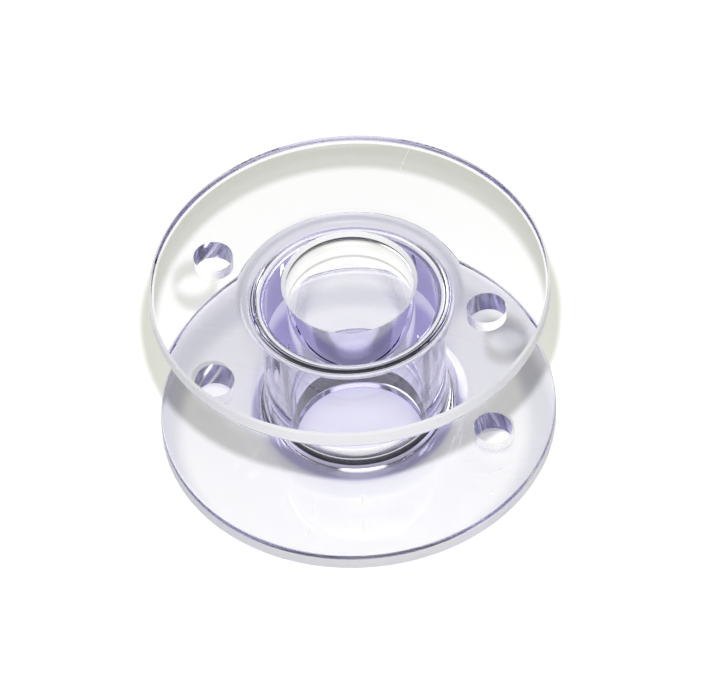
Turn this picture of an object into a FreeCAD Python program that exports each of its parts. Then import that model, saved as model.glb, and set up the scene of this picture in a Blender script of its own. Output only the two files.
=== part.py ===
import FreeCAD, Part
import math
import os
import Sketcher

# A clear moulded bobbin: two round flanges joined by a hollow hub, in millimetres, standing on its lower flange

# Driving sizes
doc = FreeCAD.newDocument("Bobbin")
sizes = doc.addObject("Spreadsheet::Sheet", "Sizes")
rows = [
    ("flange_diameter", "20.3", "outside of both flanges"),
    ("overall_height", "10.5", "outer face to outer face"),
    ("rim_thickness", "1.0", "flange at its rim"),
    ("rim_round", "0.25", "round on the rim's thread side"),
    ("rim_break", "0.12", "broken edge on the rim's outer side"),
    ("face_draft", "4.5", "slope of the flange's thread side, in degrees"),
    ("hub_diameter", "8.8", "outside of the hub"),
    ("hub_round", "1.5", "round between hub and flange"),
    ("bore_diameter", "6.5", "hole for the spindle"),
    ("bore_lead", "0.2", "lead-in at both ends of the bore"),
    ("hole_diameter", "2.0", "small holes through the flanges"),
    ("hole_circle", "14.4", "circle the small holes sit on"),
    ("hole_count", "2", "small holes in each flange"),
]
for index, (alias, value, note) in enumerate(rows, start=1):
    sizes.set("A%d" % index, alias)
    sizes.set("B%d" % index, value)
    sizes.set("C%d" % index, note)
    sizes.setAlias("B%d" % index, alias)
doc.recompute()


def origin_feature(body, role):
    for feature in body.Origin.OriginFeatures:
        if feature.Role == role:
            return feature
    raise RuntimeError("origin feature not found: " + role)


def add_sketch(body, name, plane_role):
    sketch = body.newObject("Sketcher::SketchObject", name)
    sketch.AttachmentSupport = [(origin_feature(body, plane_role), "")]
    sketch.MapMode = "FlatFace"
    return sketch


def bind(sketch, name, constraint, expression):
    index = sketch.addConstraint(constraint)
    sketch.renameConstraint(index, name)
    sketch.setExpression("Constraints." + name, expression)


def rule(sketch, *terms):
    sketch.addConstraint(Sketcher.Constraint(*terms))


def line(sketch, start, end):
    return sketch.addGeometry(Part.LineSegment(FreeCAD.Vector(*start, 0), FreeCAD.Vector(*end, 0)), False)


def arc(sketch, centre, radius, from_degrees, to_degrees):
    circle = Part.Circle(FreeCAD.Vector(*centre, 0), FreeCAD.Vector(0, 0, 1), radius)
    bend = Part.ArcOfCircle(circle, math.radians(from_degrees), math.radians(to_degrees))
    return sketch.addGeometry(bend, False)


ORIGIN, START, END, CENTRE = -1, 1, 2, 3

# Lower half of the section, from the outer face up to mid-height; the start points only need to be near
bobbin = doc.addObject("PartDesign::Body", "Bobbin")
bobbin.Label = "bobbin"
section = add_sketch(bobbin, "HalfSection", "XZ_Plane")
outer_face = line(section, (3.45, 0.0), (10.03, 0.0))
rim_edge = line(section, (10.03, 0.0), (10.15, 0.12))
rim_wall = line(section, (10.15, 0.12), (10.15, 0.77))
rim_bend = arc(section, (9.90, 0.77), 0.25, 0, 85.5)
inner_face = line(section, (9.92, 1.02), (5.78, 1.34))
hub_bend = arc(section, (5.90, 2.84), 1.5, 180, 265.5)
hub_wall = line(section, (4.40, 2.84), (4.40, 5.25))
mid_cut = line(section, (4.40, 5.25), (3.25, 5.25))
bore_wall = line(section, (3.25, 5.25), (3.25, 0.20))
bore_edge = line(section, (3.25, 0.20), (3.45, 0.0))
rim_corner = section.addGeometry(Part.Point(FreeCAD.Vector(10.15, 1.0, 0)), True)

rule(section, "Coincident", outer_face, END, rim_edge, START)
rule(section, "Coincident", rim_edge, END, rim_wall, START)
rule(section, "Tangent", rim_wall, END, rim_bend, START)
rule(section, "Tangent", rim_bend, END, inner_face, START)
rule(section, "Tangent", inner_face, END, hub_bend, END)
rule(section, "Tangent", hub_bend, START, hub_wall, START)
rule(section, "Coincident", hub_wall, END, mid_cut, START)
rule(section, "Coincident", mid_cut, END, bore_wall, START)
rule(section, "Coincident", bore_wall, END, bore_edge, START)
rule(section, "Coincident", bore_edge, END, outer_face, START)
rule(section, "PointOnObject", outer_face, START, ORIGIN)
for side in (rim_wall, inner_face):
    rule(section, "PointOnObject", rim_corner, START, side)
for level in (outer_face, mid_cut):
    rule(section, "Horizontal", level)
for upright in (rim_wall, hub_wall, bore_wall):
    rule(section, "Vertical", upright)

bind(section, "FlangeRadius", Sketcher.Constraint("DistanceX", ORIGIN, 1, rim_wall, END, 10.15),
     "Sizes.flange_diameter / 2")
bind(section, "RimRound", Sketcher.Constraint("Radius", rim_bend, 0.25), "Sizes.rim_round")
bind(section, "RimBreakAcross", Sketcher.Constraint("DistanceX", rim_edge, START, rim_edge, END, 0.12),
     "Sizes.rim_break")
bind(section, "RimBreakUp", Sketcher.Constraint("DistanceY", rim_edge, START, rim_edge, END, 0.12),
     "Sizes.rim_break")
bind(section, "RimThickness", Sketcher.Constraint("DistanceY", ORIGIN, 1, rim_corner, START, 1.0),
     "Sizes.rim_thickness")
bind(section, "FaceSlope", Sketcher.Constraint("Angle", inner_face, math.radians(175.5)),
     "180 deg - Sizes.face_draft * 1 deg")
bind(section, "HubRound", Sketcher.Constraint("Radius", hub_bend, 1.5), "Sizes.hub_round")
bind(section, "HubRadius", Sketcher.Constraint("DistanceX", ORIGIN, 1, hub_wall, END, 4.4),
     "Sizes.hub_diameter / 2")
bind(section, "MidHeight", Sketcher.Constraint("DistanceY", ORIGIN, 1, mid_cut, START, 5.25),
     "Sizes.overall_height / 2")
bind(section, "BoreRadius", Sketcher.Constraint("DistanceX", ORIGIN, 1, bore_wall, START, 3.25),
     "Sizes.bore_diameter / 2")
bind(section, "BoreLeadAcross", Sketcher.Constraint("DistanceX", bore_edge, START, bore_edge, END, 0.2),
     "Sizes.bore_lead")
bind(section, "BoreLeadUp", Sketcher.Constraint("DistanceY", bore_edge, END, bore_edge, START, 0.2),
     "Sizes.bore_lead")

turned = bobbin.newObject("PartDesign::Revolution", "LowerHalf")
turned.Profile = section
turned.ReferenceAxis = (origin_feature(bobbin, "Z_Axis"), [""])
turned.Angle = 360
doc.recompute()

# The upper half is the lower one mirrored at mid-height
mid_plane = bobbin.newObject("PartDesign::Plane", "MidPlane")
mid_plane.AttachmentSupport = [(origin_feature(bobbin, "XY_Plane"), "")]
mid_plane.MapMode = "FlatFace"
mid_plane.setExpression("AttachmentOffset.Base.z", "Sizes.overall_height / 2")
doc.recompute()
both_halves = bobbin.newObject("PartDesign::Mirrored", "BothHalves")
both_halves.Originals = [turned]
both_halves.MirrorPlane = (mid_plane, [""])
both_halves.Refine = True
bobbin.Tip = both_halves
doc.recompute()

# Small holes, straight through both flanges
hole_sketch = add_sketch(bobbin, "FlangeHole", "XY_Plane")
hole = hole_sketch.addGeometry(Part.Circle(FreeCAD.Vector(7.2, 0, 0), FreeCAD.Vector(0, 0, 1), 1.0), False)
rule(hole_sketch, "PointOnObject", hole, CENTRE, ORIGIN)
bind(hole_sketch, "HoleCircle", Sketcher.Constraint("DistanceX", ORIGIN, 1, hole, CENTRE, 7.2),
     "Sizes.hole_circle / 2")
bind(hole_sketch, "HoleDiameter", Sketcher.Constraint("Diameter", hole, 2.0), "Sizes.hole_diameter")
uncut_volume = both_halves.Shape.Volume
hole_cut = bobbin.newObject("PartDesign::Pocket", "FlangeHoleCut")
hole_cut.Profile = hole_sketch
hole_cut.Type = "ThroughAll"
hole_cut.Reversed = True
doc.recompute()
if not hole_cut.Shape.Volume < uncut_volume:
    raise RuntimeError("the flange hole cuts nothing")

hole_ring = bobbin.newObject("PartDesign::PolarPattern", "FlangeHoleRing")
hole_ring.Originals = [hole_cut]
hole_ring.Axis = (origin_feature(bobbin, "Z_Axis"), [""])
hole_ring.Angle = 360
hole_ring.setExpression("Occurrences", "Sizes.hole_count")
bobbin.Tip = hole_ring
doc.recompute()

# Checks and export
for item in doc.Objects:
    for state in item.State:
        if state in ("Invalid", "Error"):
            raise RuntimeError("%s is in state %s" % (item.Name, state))
if bobbin.Shape.isNull() or not bobbin.Shape.isValid():
    raise RuntimeError("the bobbin's shape is not sound")
if len(bobbin.Shape.Solids) != 1:
    raise RuntimeError("the bobbin is not one solid")

os.makedirs("parts", exist_ok=True)
bobbin.Shape.exportStep(os.path.join("parts", bobbin.Label + ".step"))
print("volume of the solid in cubic millimetres: %.2f" % bobbin.Shape.Volume)
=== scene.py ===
import math

import bmesh
import bpy
from bpy.props import FloatProperty, FloatVectorProperty, IntProperty, PointerProperty
from mathutils import Matrix, Vector


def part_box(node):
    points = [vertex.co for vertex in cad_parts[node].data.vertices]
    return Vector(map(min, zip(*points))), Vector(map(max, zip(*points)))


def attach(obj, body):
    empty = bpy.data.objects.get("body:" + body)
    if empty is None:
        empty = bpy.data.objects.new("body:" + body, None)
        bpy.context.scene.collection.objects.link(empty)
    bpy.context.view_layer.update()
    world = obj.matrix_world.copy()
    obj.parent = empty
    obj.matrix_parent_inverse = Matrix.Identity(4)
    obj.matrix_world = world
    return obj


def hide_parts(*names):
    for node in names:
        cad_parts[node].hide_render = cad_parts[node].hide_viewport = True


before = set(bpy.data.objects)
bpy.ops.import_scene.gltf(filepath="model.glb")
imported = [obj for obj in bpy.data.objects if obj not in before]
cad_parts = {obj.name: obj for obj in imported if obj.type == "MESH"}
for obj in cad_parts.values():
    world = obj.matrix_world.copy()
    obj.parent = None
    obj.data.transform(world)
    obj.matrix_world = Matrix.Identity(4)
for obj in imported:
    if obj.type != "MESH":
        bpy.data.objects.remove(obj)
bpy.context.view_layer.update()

bl_info = {
    "name": "Clear Bobbin",
    "version": (1, 0, 0),
    "blender": (4, 5, 0),
    "location": "3D View > Sidebar > Bobbin",
    "description": "Makes a clear moulded bobbin over its packed solid, and the stage that it stands on",
    "category": "Object",
}

CAD_NODE = "bobbin"
CAD_BODY = "root"
NODE_LOW, NODE_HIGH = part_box(CAD_NODE)
NODE_MIDDLE = (NODE_LOW + NODE_HIGH) / 2

MILLIMETRE = 0.001
WHITE = (1.0, 1.0, 1.0, 1.0)


# Kinds of property
def length(name, description, default):
    return FloatProperty(name=name, description=description, default=default, min=0.0,
                         unit="LENGTH", subtype="DISTANCE", precision=5)


def step(name, description, default):
    return FloatProperty(name=name, description=description, default=default, unit="LENGTH")


def angle(name, description, degrees):
    return FloatProperty(name=name, description=description, default=math.radians(degrees), subtype="ANGLE")


def amount(name, description, default, least=0.0):
    return FloatProperty(name=name, description=description, default=default, min=least)


def factor(name, description, default):
    return FloatProperty(name=name, description=description, default=default,
                         min=0.0, max=1.0, subtype="FACTOR")


def count(name, description, default, least):
    return IntProperty(name=name, description=description, default=default, min=least)


def colour(name, description, default):
    return FloatVectorProperty(name=name, description=description, default=default, size=3,
                               min=0.0, max=1.0, subtype="COLOR")


class BobbinSizes(bpy.types.PropertyGroup):
    """Sizes of the moulding, the same as the solid's"""

    flange_diameter: length("Flange diameter", "Outside of both flanges", 2 * NODE_HIGH.x)
    overall_height: length("Overall height", "Outer face to outer face", NODE_HIGH.z - NODE_LOW.z)
    rim_thickness: length("Rim thickness", "Flange at its rim", 1.0 * MILLIMETRE)
    rim_round: length("Rim round", "Round on the rim's thread side", 0.25 * MILLIMETRE)
    rim_break: length("Rim break", "Broken edge on the rim's outer side", 0.12 * MILLIMETRE)
    face_draft: angle("Face draft", "Slope of the flange's thread side", 4.5)
    hub_diameter: length("Hub diameter", "Outside of the hub", 8.8 * MILLIMETRE)
    hub_round: length("Hub round", "Round between hub and flange", 1.5 * MILLIMETRE)
    bore_diameter: length("Bore diameter", "Hole for the spindle", 6.5 * MILLIMETRE)
    bore_lead: length("Bore lead", "Lead-in at both ends of the bore", 0.2 * MILLIMETRE)
    hole_diameter: length("Hole diameter", "Small holes through the flanges", 2.0 * MILLIMETRE)
    hole_circle: length("Hole circle", "Circle that the small holes sit on", 14.4 * MILLIMETRE)
    hole_count: count("Hole count", "Small holes in each flange", 2, 1)
    turn_steps: count("Turn steps", "Faces round the turned form", 512, 32)
    round_steps: count("Round steps", "Steps in each round", 16, 2)
    edge_band: length("Edge band", "Narrow strip that keeps each flat face flat beside a round",
                      0.02 * MILLIMETRE)


class PlasticLook(bpy.types.PropertyGroup):
    """Finish of the clear plastic"""

    tint: colour("Tint", "Colour that light takes on in the thick places", (0.30, 0.25, 0.70))
    tint_density: amount("Tint density", "Strength of the tint per metre of plastic", 45.0)
    bend: amount("Index of refraction", "How strongly the plastic bends light", 1.57, least=1.0)
    # Painted shade: a dark violet colour on the hub's lower end that darkens the view down the hub's ring,
    # standing in for the shade on the floor under the hub
    hub_painted_shade: colour("Hub tint", "Colour that light takes on along the hub's wall", (0.53, 0.50, 0.73))
    tube_tint: colour("Tube tint", "Colour that light takes on across the hub's wall", (0.70, 0.67, 0.87))
    face_light: colour("Light through faces", "Share of the lamps' light that each flat face lets through",
                       (1.0, 1.0, 1.0))
    base_light: colour("Light through base", "Share of the lamps' light that each lower face lets through",
                       (0.94, 0.94, 0.94))
    hub_light: colour("Light through hub", "Share of the lamps' light that each end of the hub lets through",
                      (0.85, 0.85, 0.86))
    wall_light: colour("Light through holes", "Share of the lamps' light that the holes' walls let through",
                       (0.35, 0.35, 0.36))
    rim_light: colour("Light through rim", "Share of the lamps' light that the upper rim lets through",
                      (0.15, 0.15, 0.16))
    rim_start: length("Rim start", "Radius past which the upper rim throws light aside", 8.85 * MILLIMETRE)
    hub_start: length("Hub start", "Radius where the hub's ends begin to pass more light", 4.3 * MILLIMETRE)
    hub_stop: length("Hub stop", "Radius where they pass as much light as the flanges", 4.9 * MILLIMETRE)
    # Painted shade: below this height the hub's lower end carries the dark violet painted shade
    base_level: length("Base level", "Height below which the hub's end is stained", 0.49 * MILLIMETRE)
    polish: factor("Face roughness", "Roughness of the polished faces", 0.0)
    wall_polish: factor("Hole roughness", "Roughness of the small holes' walls", 0.2)
    rim_polish: factor("Rim roughness", "Roughness of the rims", 0.5)
    rim_scuff: factor("Rim scuffing", "Share of the rims' walls that is scuffed white", 0.66)
    wave_depth: length("Waviness", "Depth of the slow waves that the mould leaves", 0.010 * MILLIMETRE)
    wave_scale: amount("Waves per metre", "How close together those waves are", 260.0)
    scratch_width: length("Scratch width", "Half width of the longer scratches", 0.05 * MILLIMETRE)
    scratch_scuff: factor("Scratch scuffing", "Share of a scratch that is scuffed white", 0.45)
    fine_width: amount("Hairline width", "Width of the hairlines, as a share of the noise", 0.006)
    fine_scuff: factor("Hairline scuffing", "How plain the hairlines are beside the scratches", 0.3)


class StageLook(bpy.types.PropertyGroup):
    """Floor, light and camera"""

    floor_colour: colour("Floor", "Colour of the paper floor", (0.94, 0.94, 0.94))
    floor_lift: amount("Floor lift", "How much paler the floor looks than the light on it makes it", 1.39,
                       least=1.0)
    floor_gap: length("Floor gap", "Air under the bobbin's polished face", 0.03 * MILLIMETRE)
    floor_radius: length("Floor radius", "How far the paper reaches", 3.0)
    sky_colour: colour("Soft light", "Colour of the light from all round", (0.98, 1.0, 0.95))
    sky_strength: amount("Soft light strength", "Level of the light from all round", 0.345)
    dim_colour: colour("Dim room", "Dim room that shows in the plastic", (0.03, 0.03, 0.035))
    wall_colour: colour("Low wall", "Pale low part of the room that shows in the plastic", (0.25, 0.25, 0.26))
    wall_top: angle("Low wall top", "Height above level where the low part ends", 6.0)
    roof_start: angle("Room start", "Height above level where the dim part begins", 16.0)
    low_panel_turn: angle("Low panel turn", "Turn from the camera to the low panel in that room", 150.0)
    low_panel_height: angle("Low panel height", "Height of the low panel above level", 11.0)
    low_panel_strength: amount("Low panel strength", "Brightness of the low panel in the plastic", 4.0)
    high_panel_turn: angle("High panel turn", "Turn from the camera to the high panel in that room", 0.0)
    high_panel_height: angle("High panel height", "Height of the high panel above level", 70.0)
    high_panel_strength: amount("High panel strength", "Brightness of the high panel in the plastic", 2.5)
    panel_spread: angle("Panel spread", "Half width of both panels, with their soft edge", 20.0)
    panel_core: angle("Panel core", "Half width of both panels, without their soft edge", 13.0)
    key_colour: colour("Key light", "Colour of the lamp near the camera", (0.96, 0.96, 1.0))
    key_power: amount("Key power", "Power of the lamp near the camera, in watts", 0.131)
    key_size: length("Key size", "Width of the lamp near the camera", 0.006)
    key_distance: length("Key distance", "From the bobbin to that lamp", 0.16)
    key_height: angle("Key height", "That lamp's height above level", 56.8)
    key_turn: angle("Key turn", "Direction of that lamp round the bobbin", 20.0)
    room_colour: colour("Room light", "Colour of the room's lamp high above", (0.99, 1.0, 0.77))
    room_power: amount("Room power", "Power of the room's lamp, in watts", 2.015)
    room_size: length("Room lamp size", "Width of the room's lamp", 0.08)
    room_distance: length("Room lamp distance", "From the bobbin to the room's lamp", 1.0)
    room_height: angle("Room lamp height", "That lamp's height above level", 83.5)
    room_turn: angle("Room lamp turn", "Direction of that lamp round the bobbin", 185.0)
    camera_turn: angle("Camera turn", "Direction of the view round the bobbin", 19.5)
    camera_height: angle("Camera height", "Height of the view above level", 48.83)
    camera_roll: angle("Camera roll", "Lean of the camera", -4.216)
    camera_distance: length("Camera distance", "From the bobbin's middle to the camera", 435.18 * MILLIMETRE)
    camera_aside: step("Camera aside", "Step of the camera to its right", -0.192 * MILLIMETRE)
    camera_rise: step("Camera rise", "Step of the camera upwards", 0.019 * MILLIMETRE)
    camera_focal: amount("Focal length", "In pixels of a picture as wide as the photograph", 8539.75)


# Node helpers
def node(tree, kind, inputs, **settings):
    made = tree.nodes.new(kind)
    for name, value in settings.items():
        setattr(made, name, value)
    for socket, value in inputs.items():
        if isinstance(value, bpy.types.NodeSocket):
            tree.links.new(value, made.inputs[socket])
        else:
            made.inputs[socket].default_value = value
    return made


def maths(tree, operation, first, second=0.0):
    return node(tree, "ShaderNodeMath", {0: first, 1: second}, operation=operation).outputs[0]


def total(tree, first, second):
    return maths(tree, "ADD", first, second)


def less(tree, first, second):
    return maths(tree, "SUBTRACT", first, second)


def times(tree, first, second):
    return maths(tree, "MULTIPLY", first, second)


def larger(tree, first, second):
    return maths(tree, "MAXIMUM", first, second)


def size_of(tree, value):
    return maths(tree, "ABSOLUTE", value)


def over(tree, value, limit):
    return maths(tree, "GREATER_THAN", value, limit)


def under(tree, value, limit):
    return maths(tree, "LESS_THAN", value, limit)


def smooth_step(tree, value, low, high):
    """One below the low value, nothing above the high one"""
    return node(tree, "ShaderNodeMapRange",
                {"Value": value, "From Min": low, "From Max": high, "To Min": 1.0, "To Max": 0.0},
                interpolation_type="SMOOTHSTEP").outputs[0]


def dot(tree, first, second):
    return node(tree, "ShaderNodeVectorMath", {0: first, 1: second}, operation="DOT_PRODUCT").outputs["Value"]


def height_of(tree, place):
    return node(tree, "ShaderNodeSeparateXYZ", {0: place}).outputs[2]


def distance_from_axis(tree, place):
    level = node(tree, "ShaderNodeVectorMath", {0: place, 1: (1.0, 1.0, 0.0)}, operation="MULTIPLY")
    return node(tree, "ShaderNodeVectorMath", {0: level.outputs[0]}, operation="LENGTH").outputs["Value"]


def opaque(tone):
    return (*tone, 1.0)


def mix_colour(tree, share, first, second):
    return node(tree, "ShaderNodeMix", {0: share, 6: first, 7: second}, data_type="RGBA").outputs[2]


def mix_value(tree, share, first, second):
    return node(tree, "ShaderNodeMix", {0: share, 2: first, 3: second}).outputs[0]


def pick(tree, kind, index, choices):
    """The choice with that index"""
    switch = tree.nodes.new("GeometryNodeIndexSwitch")
    switch.data_type = kind
    while len(switch.index_switch_items) < len(choices):
        switch.index_switch_items.new()
    tree.links.new(index, switch.inputs[0])
    for place, choice in enumerate(choices, start=1):
        if isinstance(choice, bpy.types.NodeSocket):
            tree.links.new(choice, switch.inputs[place])
        else:
            switch.inputs[place].default_value = choice
    return switch.outputs[0]


# The turned moulding
MOULDING_INPUTS = (
    ("Flange Radius", "NodeSocketFloat"),
    ("Height", "NodeSocketFloat"),
    ("Rim Thickness", "NodeSocketFloat"),
    ("Rim Round", "NodeSocketFloat"),
    ("Rim Break", "NodeSocketFloat"),
    ("Face Draft", "NodeSocketFloat"),
    ("Hub Radius", "NodeSocketFloat"),
    ("Hub Round", "NodeSocketFloat"),
    ("Bore Radius", "NodeSocketFloat"),
    ("Bore Lead", "NodeSocketFloat"),
    ("Edge Band", "NodeSocketFloat"),
    ("Turn Steps", "NodeSocketInt"),
    ("Round Steps", "NodeSocketInt"),
    ("Hole Radius", "NodeSocketFloat"),
    ("Hole Circle Radius", "NodeSocketFloat"),
    ("Hole Count", "NodeSocketInt"),
    ("Material", "NodeSocketMaterial"),
)
HALF_CORNERS = 10
RIM_CORNER = 5
HUB_CORNER = 8
HOLE_STEPS = 128
HOLE_REACH = 1.5
SHARP_ANGLE = math.radians(25)
WALL_SLOPE = 0.1
ROUND_WEAR = 0.5
MERGE_DISTANCE = 0.0005 * MILLIMETRE


def half_section(tree, size):
    """Corners of the section's lower half, from bore to rim and back to the hub, and their rounds"""
    draft = size["Face Draft"]
    band = size["Edge Band"]
    bore = size["Bore Radius"]
    lead = size["Bore Lead"]
    rim = size["Flange Radius"]
    hub = size["Hub Radius"]
    thick = size["Rim Thickness"]
    root = total(tree, thick, times(tree, less(tree, rim, hub), maths(tree, "TANGENT", draft)))
    half_corner = maths(tree, "TANGENT", total(tree, times(tree, draft, 0.5), math.radians(45)))
    rim_reach = total(tree, maths(tree, "DIVIDE", size["Rim Round"], half_corner), band)
    hub_reach = total(tree, maths(tree, "DIVIDE", size["Hub Round"], half_corner), band)
    across_face = maths(tree, "COSINE", draft)
    up_face = maths(tree, "SINE", draft)
    rim_across = times(tree, rim_reach, across_face)
    rim_up = times(tree, rim_reach, up_face)
    hub_across = times(tree, hub_reach, across_face)
    hub_down = times(tree, hub_reach, up_face)
    places = (
        (bore, lead),
        (total(tree, bore, lead), 0.0),
        (less(tree, rim, size["Rim Break"]), 0.0),
        (rim, size["Rim Break"]),
        (rim, less(tree, thick, rim_reach)),
        (rim, thick),
        (less(tree, rim, rim_across), total(tree, thick, rim_up)),
        (total(tree, hub, hub_across), less(tree, root, hub_down)),
        (hub, root),
        (hub, total(tree, root, hub_reach)),
    )
    corners = []
    for across, up in places:
        corner = node(tree, "ShaderNodeCombineXYZ", {0: less(tree, across, bore), 1: up})
        corners.append(corner.outputs[0])
    rounds = [0.0] * HALF_CORNERS
    rounds[RIM_CORNER] = size["Rim Round"]
    rounds[HUB_CORNER] = size["Hub Round"]
    return corners, rounds


def turned_form(tree, size):
    """The closed section, with its upper half mirrored from the lower one, swept round the bore"""
    index = tree.nodes.new("GeometryNodeInputIndex").outputs[0]
    mirrored = less(tree, 2 * HALF_CORNERS - 1, index)
    half_index = maths(tree, "MINIMUM", index, mirrored)
    upper = over(tree, index, HALF_CORNERS - 0.5)
    corners, rounds = half_section(tree, size)
    place = node(tree, "ShaderNodeSeparateXYZ", {0: pick(tree, "VECTOR", half_index, corners)})
    from_middle = less(tree, place.outputs[1], times(tree, size["Height"], 0.5))
    sign = less(tree, times(tree, upper, 2.0), 1.0)
    flat = node(tree, "ShaderNodeCombineXYZ", {0: place.outputs[0], 1: times(tree, from_middle, sign)})
    ring = node(tree, "GeometryNodeMeshCircle", {"Vertices": 2 * HALF_CORNERS})
    placed = node(tree, "GeometryNodeSetPosition",
                  {"Geometry": ring.outputs[0], "Position": flat.outputs[0]})
    wanted = pick(tree, "FLOAT", half_index, rounds)
    stored = node(tree, "GeometryNodeStoreNamedAttribute",
                  {"Geometry": placed.outputs[0], "Name": "round", "Value": wanted},
                  data_type="FLOAT", domain="POINT")
    line = node(tree, "GeometryNodeMeshToCurve", {0: stored.outputs[0]})
    radius = node(tree, "GeometryNodeInputNamedAttribute", {"Name": "round"}, data_type="FLOAT")
    section = node(tree, "GeometryNodeFilletCurve",
                   {"Curve": line.outputs[0], "Count": size["Round Steps"], "Radius": radius.outputs[0]},
                   mode="POLY")
    circle = node(tree, "GeometryNodeCurvePrimitiveCircle",
                  {"Resolution": size["Turn Steps"], "Radius": size["Bore Radius"]}, mode="RADIUS")
    upright = node(tree, "GeometryNodeSetCurveNormal", {"Curve": circle.outputs[0]}, mode="Z_UP")
    swept = node(tree, "GeometryNodeCurveToMesh",
                 {"Curve": upright.outputs[0], "Profile Curve": section.outputs[0]})
    lift = node(tree, "ShaderNodeCombineXYZ", {2: times(tree, size["Height"], 0.5)})
    return node(tree, "GeometryNodeTransform",
                {"Geometry": swept.outputs[0], "Translation": lift.outputs[0]}).outputs[0]


def hole_cutters(tree, size):
    """One round cutter for each small hole, evenly spaced on the hole circle"""
    index = tree.nodes.new("GeometryNodeInputIndex").outputs[0]
    turn = maths(tree, "DIVIDE", times(tree, index, 2 * math.pi), size["Hole Count"])
    across = times(tree, size["Hole Circle Radius"], maths(tree, "COSINE", turn))
    along = times(tree, size["Hole Circle Radius"], maths(tree, "SINE", turn))
    spot = node(tree, "ShaderNodeCombineXYZ", {0: across, 1: along, 2: times(tree, size["Height"], 0.5)})
    points = node(tree, "GeometryNodePoints", {"Count": size["Hole Count"], "Position": spot.outputs[0]})
    cutter = node(tree, "GeometryNodeMeshCylinder",
                  {"Vertices": HOLE_STEPS, "Radius": size["Hole Radius"],
                   "Depth": times(tree, size["Height"], HOLE_REACH)})
    copies = node(tree, "GeometryNodeInstanceOnPoints",
                  {"Points": points.outputs[0], "Instance": cutter.outputs[0]})
    return node(tree, "GeometryNodeRealizeInstances", {"Geometry": copies.outputs[0]}).outputs[0]


def crisp_shading(tree, mesh):
    """Smooth faces that meet in sharp edges"""
    smooth = node(tree, "GeometryNodeSetShadeSmooth", {"Geometry": mesh, "Shade Smooth": True}, domain="FACE")
    corner = tree.nodes.new("GeometryNodeInputMeshEdgeAngle").outputs["Unsigned Angle"]
    return node(tree, "GeometryNodeSetShadeSmooth",
                {"Geometry": smooth.outputs[0], "Selection": over(tree, corner, SHARP_ANGLE),
                 "Shade Smooth": False}, domain="EDGE").outputs[0]


def face_marks(tree, size):
    """Shares by which a face counts as worn rim, wall of a small hole, lying face and outside of the hub"""
    place = tree.nodes.new("GeometryNodeInputPosition").outputs[0]
    normal = tree.nodes.new("GeometryNodeInputNormal").outputs[0]
    from_axis = distance_from_axis(tree, place)
    middle = times(tree, size["Height"], 0.5)
    from_middle = size_of(tree, less(tree, height_of(tree, place), middle))
    is_wall = under(tree, size_of(tree, height_of(tree, normal)), WALL_SLOPE)
    facing = less(tree, 1.0, is_wall)
    is_rim = over(tree, from_axis, less(tree, size["Flange Radius"], size["Rim Round"]))
    is_break = over(tree, from_middle, less(tree, middle, size["Rim Break"]))
    worn = times(tree, larger(tree, is_wall, is_break), 1 - ROUND_WEAR)
    in_lead = under(tree, from_axis, total(tree, size["Bore Radius"], size["Bore Lead"]))
    past_hub = over(tree, from_axis, total(tree, size["Hub Radius"], size["Edge Band"]))
    past_bore = over(tree, from_axis, total(tree, size["Bore Radius"], size["Edge Band"]))
    worn_rim = times(tree, is_rim, total(tree, ROUND_WEAR, worn))
    flange_wall = times(tree, is_wall, less(tree, 1.0, is_rim))
    hub_wall = times(tree, is_wall, less(tree, 1.0, past_hub))
    return {
        "rim": total(tree, worn_rim, times(tree, facing, in_lead)),
        "wall": times(tree, flange_wall, past_hub),
        "facing": facing,
        "tube": times(tree, hub_wall, past_bore),
    }


def moulding_tree():
    """The turned form, pierced by the small holes, with its faces marked for the material"""
    tree = bpy.data.node_groups.new("bobbin moulding", "GeometryNodeTree")
    for name, kind in MOULDING_INPUTS:
        tree.interface.new_socket(name=name, in_out="INPUT", socket_type=kind)
    tree.interface.new_socket(name="Geometry", in_out="OUTPUT", socket_type="NodeSocketGeometry")
    source = tree.nodes.new("NodeGroupInput")
    size = {name: source.outputs[name] for name, kind in MOULDING_INPUTS}
    pierced = node(tree, "GeometryNodeMeshBoolean",
                   {"Mesh 1": turned_form(tree, size), "Mesh 2": hole_cutters(tree, size)},
                   operation="DIFFERENCE", solver="MANIFOLD")
    marked = crisp_shading(tree, pierced.outputs[0])
    for name, share in face_marks(tree, size).items():
        marked = node(tree, "GeometryNodeStoreNamedAttribute",
                      {"Geometry": marked, "Name": name, "Value": share},
                      data_type="FLOAT", domain="FACE").outputs[0]
    whole = node(tree, "GeometryNodeRealizeInstances", {"Geometry": marked})
    finished = node(tree, "GeometryNodeSetMaterial",
                    {"Geometry": whole.outputs[0], "Material": size["Material"]})
    result = tree.nodes.new("NodeGroupOutput")
    tree.links.new(finished.outputs[0], result.inputs[0])
    return tree


def evaluated_mesh(name, tree, values):
    """Runs a node tree on an empty mesh and gives the result as a plain mesh"""
    carrier = bpy.data.objects.new(name, bpy.data.meshes.new(name))
    bpy.context.scene.collection.objects.link(carrier)
    modifier = carrier.modifiers.new(name, "NODES")
    modifier.node_group = tree
    sockets = {item.name: item.identifier for item in tree.interface.items_tree if item.in_out == "INPUT"}
    for socket, value in values.items():
        modifier[sockets[socket]] = value
    carrier.update_tag()
    graph = bpy.context.evaluated_depsgraph_get()
    mesh = bpy.data.meshes.new_from_object(carrier.evaluated_get(graph), depsgraph=graph)
    bpy.data.objects.remove(carrier)
    return mesh


def close_mesh(mesh):
    """Merges doubles and turns every face outwards"""
    work = bmesh.new()
    work.from_mesh(mesh)
    bmesh.ops.remove_doubles(work, verts=work.verts, dist=MERGE_DISTANCE)
    bmesh.ops.recalc_face_normals(work, faces=work.faces)
    open_edges = [edge for edge in work.edges if not edge.is_manifold]
    work.to_mesh(mesh)
    work.free()
    if open_edges:
        raise RuntimeError("the moulding is not closed: %d open edges" % len(open_edges))


# The clear plastic

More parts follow.
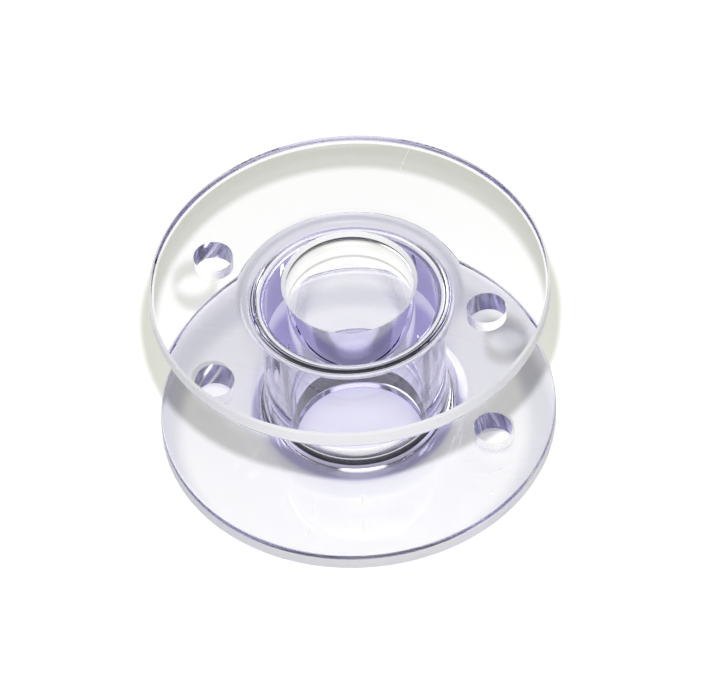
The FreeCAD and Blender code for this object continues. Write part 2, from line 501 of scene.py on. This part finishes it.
# Hairlines: their turn in degrees, waves per metre along and across them, and the noise where patches begin
HAIRLINES = (
    {"turn": 28.0, "along": 45.0, "across": 420.0, "patch": 0.60},
    {"turn": 97.0, "along": 60.0, "across": 380.0, "patch": 0.62},
)
NOISE_MIDDLE = 0.5
PATCH_SCALE = 3
PATCH_EDGE = 0.06

# Longer scratches: start and end, and the two heights between which their face lies, in millimetres
LONG_SCRATCHES = (
    {"start": (0.45, 9.84), "end": (0.33, 7.52), "low": 10.4, "high": 10.6},
    {"start": (1.98, -5.89), "end": (2.74, -8.47), "low": 0.9, "high": 1.6},
    {"start": (-0.26, -6.58), "end": (0.06, -9.49), "low": 0.9, "high": 1.6},
)
RAGGED_SCALE = 900.0
SCRATCH_FULL = 2 / 3


def noise(tree, place, scale):
    return node(tree, "ShaderNodeTexNoise", {"Vector": place, "Scale": scale, "Detail": 0.0}).outputs["Fac"]


def hairlines(tree, place, width):
    """Fine marks: lines of equal height in stretched noise, kept only in patches"""
    every = 0.0
    for lines in HAIRLINES:
        turned = node(tree, "ShaderNodeMapping",
                      {"Vector": place, "Rotation": (0.0, 0.0, math.radians(lines["turn"])),
                       "Scale": (lines["along"], lines["across"], lines["along"])})
        offset = size_of(tree, less(tree, noise(tree, turned.outputs[0], 1.0), NOISE_MIDDLE))
        spots = noise(tree, place, lines["along"] * PATCH_SCALE)
        bare = smooth_step(tree, spots, lines["patch"], lines["patch"] + PATCH_EDGE)
        mark = times(tree, smooth_step(tree, offset, 0.0, width), less(tree, 1.0, bare))
        every = larger(tree, mark, every)
    return every


def long_scratches(tree, place, width):
    """Straight ragged marks that fade towards both ends"""
    height = height_of(tree, place)
    ragged_width = times(tree, noise(tree, place, RAGGED_SCALE), 2 * width)
    every = 0.0
    for scratch in LONG_SCRATCHES:
        first = Vector((*scratch["start"], 0.0)) * MILLIMETRE
        run = Vector((*scratch["end"], 0.0)) * MILLIMETRE - first
        way = run.normalized()
        side = Vector((-way.y, way.x, 0.0))
        offset = node(tree, "ShaderNodeVectorMath", {0: place, 1: first}, operation="SUBTRACT").outputs[0]
        half = run.length / 2
        from_middle = size_of(tree, less(tree, dot(tree, offset, way), half))
        across = size_of(tree, dot(tree, offset, side))
        mark = times(tree, smooth_step(tree, across, 0.0, ragged_width),
                     smooth_step(tree, from_middle, half * SCRATCH_FULL, half))
        on_face = times(tree, over(tree, height, scratch["low"] * MILLIMETRE),
                        under(tree, height, scratch["high"] * MILLIMETRE))
        every = larger(tree, times(tree, mark, on_face), every)
    return every


def attribute(tree, name):
    return node(tree, "ShaderNodeAttribute", {}, attribute_name=name).outputs["Fac"]


def plastic_zones(tree, look, place):
    """Shares by which a point counts as each zone of the moulding"""
    from_axis = distance_from_axis(tree, place)
    height = height_of(tree, place)
    outside = less(tree, 1.0, tree.nodes.new("ShaderNodeNewGeometry").outputs["Backfacing"])
    facing = attribute(tree, "facing")
    rim = attribute(tree, "rim")
    hub = times(tree, facing, smooth_step(tree, from_axis, look.hub_start, look.hub_stop))
    past_round = maths(tree, "DIVIDE", less(tree, rim, ROUND_WEAR), 1 - ROUND_WEAR)
    return {
        "hub": hub,
        # The hub's lower end, where the painted shade sits
        "base": times(tree, hub, under(tree, height, NODE_LOW.z + look.base_level)),
        "flange": less(tree, facing, hub),
        "tube": times(tree, attribute(tree, "tube"), outside),
        "wall": attribute(tree, "wall"),
        "rim": times(tree, rim, outside),
        "scuffed": times(tree, larger(tree, past_round, 0.0), outside),
        "lower": under(tree, height, NODE_MIDDLE.z),
        "upper_rim": times(tree, over(tree, from_axis, look.rim_start), over(tree, height, NODE_MIDDLE.z)),
    }


def plastic_finish(tree, look, place, zone):
    """What the eye meets: polished and a little wavy faces, scuffed rims and a few scratches"""
    tube_stain = mix_colour(tree, zone["tube"], WHITE, opaque(look.tube_tint))
    # Tube tint on the hub's wall, and painted shade: a dark violet colour on the hub's lower end standing in
    # for the shade on the floor under the hub
    tint_and_painted_shade = mix_colour(tree, zone["base"], tube_stain, opaque(look.hub_painted_shade))
    inner = mix_value(tree, zone["wall"], look.polish, look.wall_polish)
    rough = mix_value(tree, zone["rim"], inner, look.rim_polish)
    relief = times(tree, noise(tree, place, look.wave_scale), look.wave_depth)
    uneven = node(tree, "ShaderNodeBump", {"Height": relief, "Strength": 1.0, "Distance": 1.0})
    hairs = times(tree, hairlines(tree, place, look.fine_width), times(tree, zone["flange"], look.fine_scuff))
    marks = larger(tree, hairs, long_scratches(tree, place, look.scratch_width))
    white = larger(tree, times(tree, zone["scuffed"], look.rim_scuff), times(tree, marks, look.scratch_scuff))
    return node(tree, "ShaderNodeBsdfPrincipled",
                {"Base Color": tint_and_painted_shade, "Roughness": rough, "IOR": look.bend,
                 "Transmission Weight": less(tree, 1.0, white), "Normal": uneven.outputs[0]})


def plastic_shadow(tree, look, zone):
    """What the lamps meet: each zone lets its own share of their light through"""
    clear = opaque(look.face_light)
    for name, light in (("lower", look.base_light), ("hub", look.hub_light),
                        ("wall", look.wall_light), ("upper_rim", look.rim_light)):
        clear = mix_colour(tree, zone[name], clear, opaque(light))
    return node(tree, "ShaderNodeBsdfTransparent", {0: clear})


def clear_plastic(look):
    """Clear plastic with a tint that deepens with the way through it"""
    material = bpy.data.materials.new("clear_plastic_polished")
    material.use_nodes = True
    tree = material.node_tree
    tree.nodes.clear()
    place = tree.nodes.new("ShaderNodeTexCoord").outputs["Object"]
    zone = plastic_zones(tree, look, place)
    finish = plastic_finish(tree, look, place, zone)
    shadow = plastic_shadow(tree, look, zone)
    path = tree.nodes.new("ShaderNodeLightPath")
    both = node(tree, "ShaderNodeMixShader",
                {0: path.outputs["Is Shadow Ray"], 1: finish.outputs[0], 2: shadow.outputs[0]})
    tinted = node(tree, "ShaderNodeVolumeAbsorption",
                  {"Color": opaque(look.tint), "Density": look.tint_density})
    output = tree.nodes.new("ShaderNodeOutputMaterial")
    tree.links.new(both.outputs[0], output.inputs["Surface"])
    tree.links.new(tinted.outputs[0], output.inputs["Volume"])
    return material


class BOBBIN_OT_moulding(bpy.types.Operator):
    """Make the clear moulding and put it in place of the solid"""

    bl_idname = "bobbin.moulding"
    bl_label = "Make Moulding"
    bl_options = {"REGISTER", "UNDO"}

    def execute(self, context):
        size = context.scene.bobbin_sizes
        material = clear_plastic(context.scene.bobbin_plastic)
        values = {
            "Flange Radius": size.flange_diameter / 2,
            "Height": size.overall_height,
            "Rim Thickness": size.rim_thickness,
            "Rim Round": size.rim_round,
            "Rim Break": size.rim_break,
            "Face Draft": size.face_draft,
            "Hub Radius": size.hub_diameter / 2,
            "Hub Round": size.hub_round,
            "Bore Radius": size.bore_diameter / 2,
            "Bore Lead": size.bore_lead,
            "Edge Band": size.edge_band,
            "Turn Steps": size.turn_steps,
            "Round Steps": size.round_steps,
            "Hole Radius": size.hole_diameter / 2,
            "Hole Circle Radius": size.hole_circle / 2,
            "Hole Count": size.hole_count,
            "Material": material,
        }
        mesh = evaluated_mesh("bobbin_moulding", moulding_tree(), values)
        if not mesh.polygons:
            raise RuntimeError("the moulding has no faces")
        close_mesh(mesh)
        piece = bpy.data.objects.new("bobbin_moulding", mesh)
        context.scene.collection.objects.link(piece)
        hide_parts(CAD_NODE)
        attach(piece, CAD_BODY)
        return {"FINISHED"}


# The stage
PHOTO_WIDTH = 701
SENSOR_WIDTH = 36.0
NEAR_CLIP = 0.01
FAR_CLIP = 10
FLOOR_STEPS = 64
LIGHT_BOUNCES = 48
FIRST_BOUNCE = 0.5


def direction(turn, height):
    """Unit vector from the bobbin towards a thing at that turn round it and height above level"""
    return Vector((math.sin(turn) * math.cos(height), -math.cos(turn) * math.cos(height), math.sin(height)))


def sight_rays(tree):
    """Shares that are one for rays straight from the camera, and for those that the plastic then sends on"""
    path = tree.nodes.new("ShaderNodeLightPath")
    bent = larger(tree, path.outputs["Is Glossy Ray"], path.outputs["Is Transmission Ray"])
    through = times(tree, bent, under(tree, path.outputs["Diffuse Depth"], FIRST_BOUNCE))
    return path.outputs["Is Camera Ray"], through


def paper_floor(stage):
    """Plain paper that is paler for the rays of sight than for the light that it sends back"""
    material = bpy.data.materials.new("pale_paper")
    material.use_nodes = True
    tree = material.node_tree
    tree.nodes.clear()
    direct, through = sight_rays(tree)
    lifted = [level * stage.floor_lift for level in stage.floor_colour]
    paper = mix_colour(tree, larger(tree, direct, through), opaque(stage.floor_colour), opaque(lifted))
    shader = node(tree, "ShaderNodeBsdfDiffuse", {0: paper})
    output = tree.nodes.new("ShaderNodeOutputMaterial")
    tree.links.new(shader.outputs[0], output.inputs["Surface"])
    work = bmesh.new()
    bmesh.ops.create_circle(work, cap_ends=True, segments=FLOOR_STEPS, radius=stage.floor_radius)
    bmesh.ops.translate(work, verts=work.verts, vec=(0.0, 0.0, NODE_LOW.z - stage.floor_gap))
    mesh = bpy.data.meshes.new("paper_floor")
    work.to_mesh(mesh)
    work.free()
    mesh.materials.append(material)
    floor = bpy.data.objects.new("paper_floor", mesh)
    bpy.context.scene.collection.objects.link(floor)


def dim_room(tree, stage):
    """The room that shows in the plastic: dim, with a paler low wall and two soft panels that glint"""
    seen = tree.nodes.new("ShaderNodeTexCoord").outputs["Generated"]
    low = smooth_step(tree, height_of(tree, seen), math.sin(stage.wall_top), math.sin(stage.roof_start))
    room = mix_colour(tree, low, opaque(stage.dim_colour), opaque(stage.wall_colour))
    panels = (
        (stage.low_panel_turn, stage.low_panel_height, stage.low_panel_strength),
        (stage.high_panel_turn, stage.high_panel_height, stage.high_panel_strength),
    )
    for turn, height, strength in panels:
        near = dot(tree, seen, direction(stage.camera_turn + turn, height))
        past = smooth_step(tree, near, math.cos(stage.panel_spread), math.cos(stage.panel_core))
        room = mix_colour(tree, past, opaque((strength, strength, strength)), room)
    return room


def soft_world(stage):
    """Soft light from all round, a white backdrop for the camera, and a dim room in the plastic"""
    world = bpy.data.worlds.new("soft_studio")
    world.use_nodes = True
    world.cycles.sampling_method = "NONE"
    bpy.context.scene.world = world
    tree = world.node_tree
    tree.nodes.clear()
    around = node(tree, "ShaderNodeBackground", {0: opaque(stage.sky_colour), 1: stage.sky_strength})
    white = node(tree, "ShaderNodeBackground", {0: WHITE, 1: 1.0})
    room = node(tree, "ShaderNodeBackground", {0: dim_room(tree, stage), 1: 1.0})
    direct, through = sight_rays(tree)
    plain = node(tree, "ShaderNodeMixShader", {0: through, 1: around.outputs[0], 2: room.outputs[0]})
    both = node(tree, "ShaderNodeMixShader", {0: direct, 1: plain.outputs[0], 2: white.outputs[0]})
    output = tree.nodes.new("ShaderNodeOutputWorld")
    tree.links.new(both.outputs[0], output.inputs["Surface"])


def lamp(name, offset, size, power, tone):
    """A round lamp, aimed at the bobbin, that does not itself show in the plastic"""
    light = bpy.data.lights.new(name, "AREA")
    light.shape = "DISK"
    light.size = size
    light.energy = power
    light.color = tone
    holder = bpy.data.objects.new(name, light)
    holder.location = NODE_MIDDLE + offset
    holder.rotation_euler = (-offset).to_track_quat("-Z", "Y").to_euler()
    holder.visible_transmission = False
    holder.visible_glossy = False
    bpy.context.scene.collection.objects.link(holder)


def photo_camera(stage):
    """Camera at the photograph's viewing angle"""
    back = direction(stage.camera_turn, stage.camera_height)
    level_right = Vector((math.cos(stage.camera_turn), math.sin(stage.camera_turn), 0.0))
    level_up = back.cross(level_right)
    right = level_right * math.cos(stage.camera_roll) + level_up * math.sin(stage.camera_roll)
    up = level_up * math.cos(stage.camera_roll) - level_right * math.sin(stage.camera_roll)
    place = NODE_MIDDLE + back * stage.camera_distance + right * stage.camera_aside + up * stage.camera_rise
    data = bpy.data.cameras.new("photo_camera")
    data.sensor_width = SENSOR_WIDTH
    data.lens = stage.camera_focal * SENSOR_WIDTH / PHOTO_WIDTH
    data.clip_start = stage.camera_distance * NEAR_CLIP
    data.clip_end = stage.floor_radius * FAR_CLIP
    holder = bpy.data.objects.new("photo_camera", data)
    turn = Matrix((right, up, back)).transposed()
    holder.matrix_world = Matrix.Translation(place) @ turn.to_4x4()
    bpy.context.scene.collection.objects.link(holder)
    bpy.context.scene.camera = holder


class BOBBIN_OT_stage(bpy.types.Operator):
    """Lay the paper floor, set the soft light and place the camera"""

    bl_idname = "bobbin.stage"
    bl_label = "Set Stage"
    bl_options = {"REGISTER", "UNDO"}

    def execute(self, context):
        stage = context.scene.bobbin_stage
        paper_floor(stage)
        soft_world(stage)
        key_offset = direction(stage.key_turn, stage.key_height) * stage.key_distance
        lamp("key_lamp", key_offset, stage.key_size, stage.key_power, stage.key_colour)
        room_offset = direction(stage.room_turn, stage.room_height) * stage.room_distance
        lamp("room_lamp", room_offset, stage.room_size, stage.room_power, stage.room_colour)
        photo_camera(stage)
        context.scene.view_settings.view_transform = "Standard"
        context.scene.cycles.max_bounces = LIGHT_BOUNCES
        context.scene.cycles.glossy_bounces = LIGHT_BOUNCES
        context.scene.cycles.transmission_bounces = LIGHT_BOUNCES
        context.scene.cycles.caustics_reflective = False
        context.scene.cycles.blur_glossy = 0.0
        return {"FINISHED"}


class BOBBIN_PT_panel(bpy.types.Panel):
    """Sizes, finish and stage of the bobbin"""

    bl_idname = "BOBBIN_PT_panel"
    bl_label = "Clear Bobbin"
    bl_space_type = "VIEW_3D"
    bl_region_type = "UI"
    bl_category = "Bobbin"

    def draw(self, context):
        for group in (context.scene.bobbin_sizes, context.scene.bobbin_plastic, context.scene.bobbin_stage):
            box = self.layout.box()
            for name in group.__annotations__:
                box.prop(group, name)
        self.layout.operator(BOBBIN_OT_moulding.bl_idname)
        self.layout.operator(BOBBIN_OT_stage.bl_idname)


CLASSES = (BobbinSizes, PlasticLook, StageLook, BOBBIN_OT_moulding, BOBBIN_OT_stage, BOBBIN_PT_panel)


def register():
    for item in CLASSES:
        bpy.utils.register_class(item)
    bpy.types.Scene.bobbin_sizes = PointerProperty(type=BobbinSizes)
    bpy.types.Scene.bobbin_plastic = PointerProperty(type=PlasticLook)
    bpy.types.Scene.bobbin_stage = PointerProperty(type=StageLook)


def unregister():
    del bpy.types.Scene.bobbin_stage
    del bpy.types.Scene.bobbin_plastic
    del bpy.types.Scene.bobbin_sizes
    for item in reversed(CLASSES):
        bpy.utils.unregister_class(item)


def main():
    register()
    bpy.ops.bobbin.moulding()
    bpy.ops.bobbin.stage()


if __name__ == "__main__":
    main()
